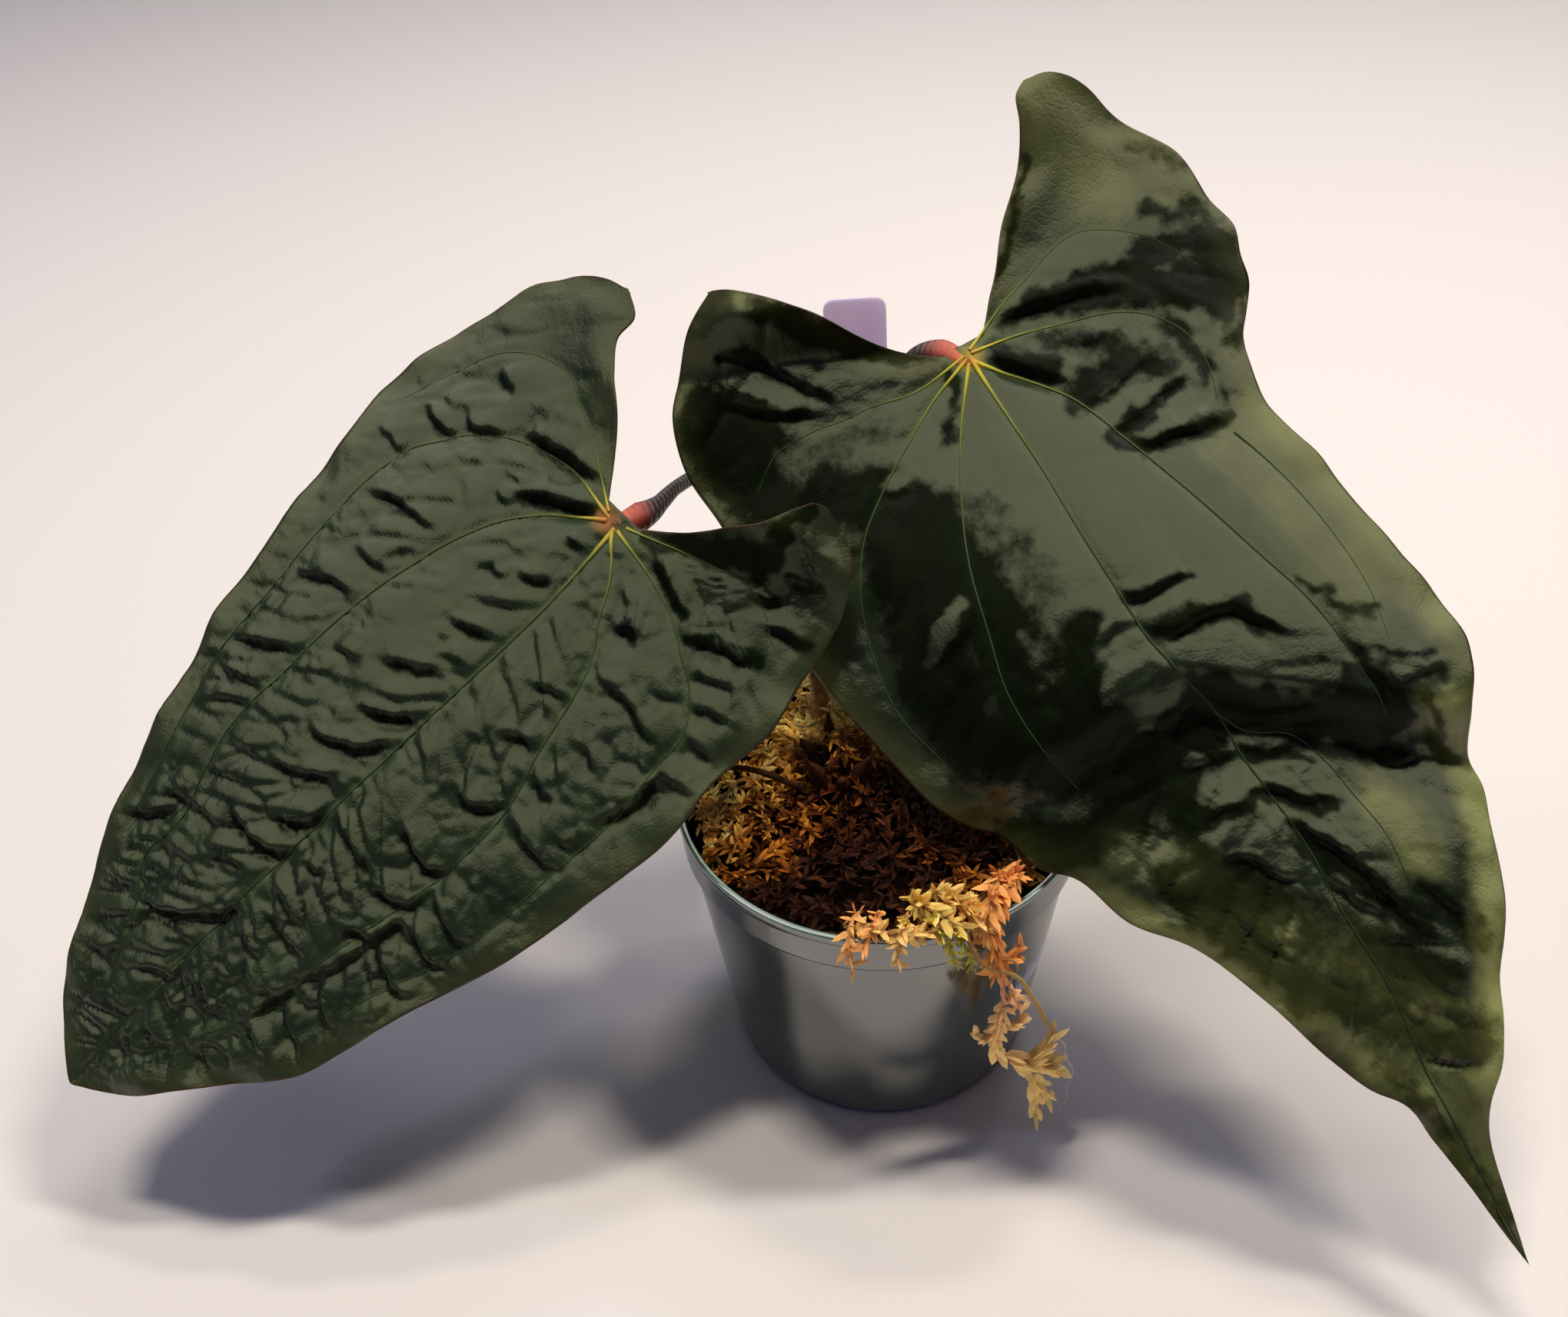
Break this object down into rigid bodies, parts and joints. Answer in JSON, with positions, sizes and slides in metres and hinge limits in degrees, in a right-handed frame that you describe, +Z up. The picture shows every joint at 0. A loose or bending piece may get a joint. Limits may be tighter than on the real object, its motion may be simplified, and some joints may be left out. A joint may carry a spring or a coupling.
{
  "type": "potted anthurium",
  "caption": "Young velvet-leaf anthurium in a moss-filled nursery pot: quilted heart-shaped blades on arching stalks, the larger buckled and drawn out to a drip tip.",
  "frame": {"origin": "centre of the pot base, on the surface it rests on", "axes": "+Z up through the pot, -Y towards the open side that both blades face, +X towards the longer blade"},
  "size_m": [0.3334, 0.1938, 0.2251],
  "materials": {
    "pot_plastic": "satin",
    "label_film": "satin",
    "moss": "matte",
    "dry_stem": "matte",
    "leaf_stalk": "satin",
    "leaf_blade_left": "satin",
    "leaf_blade_right": "satin",
    "tag_plastic": "matte",
    "root": "matte"
  },
  "bodies": {
    "root": {"pot": "pot_plastic", "pot_label": "label_film", "sphagnum_moss": "moss", "crown": "dry_stem", "petiole_left": "leaf_stalk", "petiole_right": "leaf_stalk", "leaf_left": "leaf_blade_left", "leaf_right": "leaf_blade_right", "plant_tag": "tag_plastic", "dead_stalk": "dry_stem", "trailing_root": "root"}
  },
  "joints": []
}
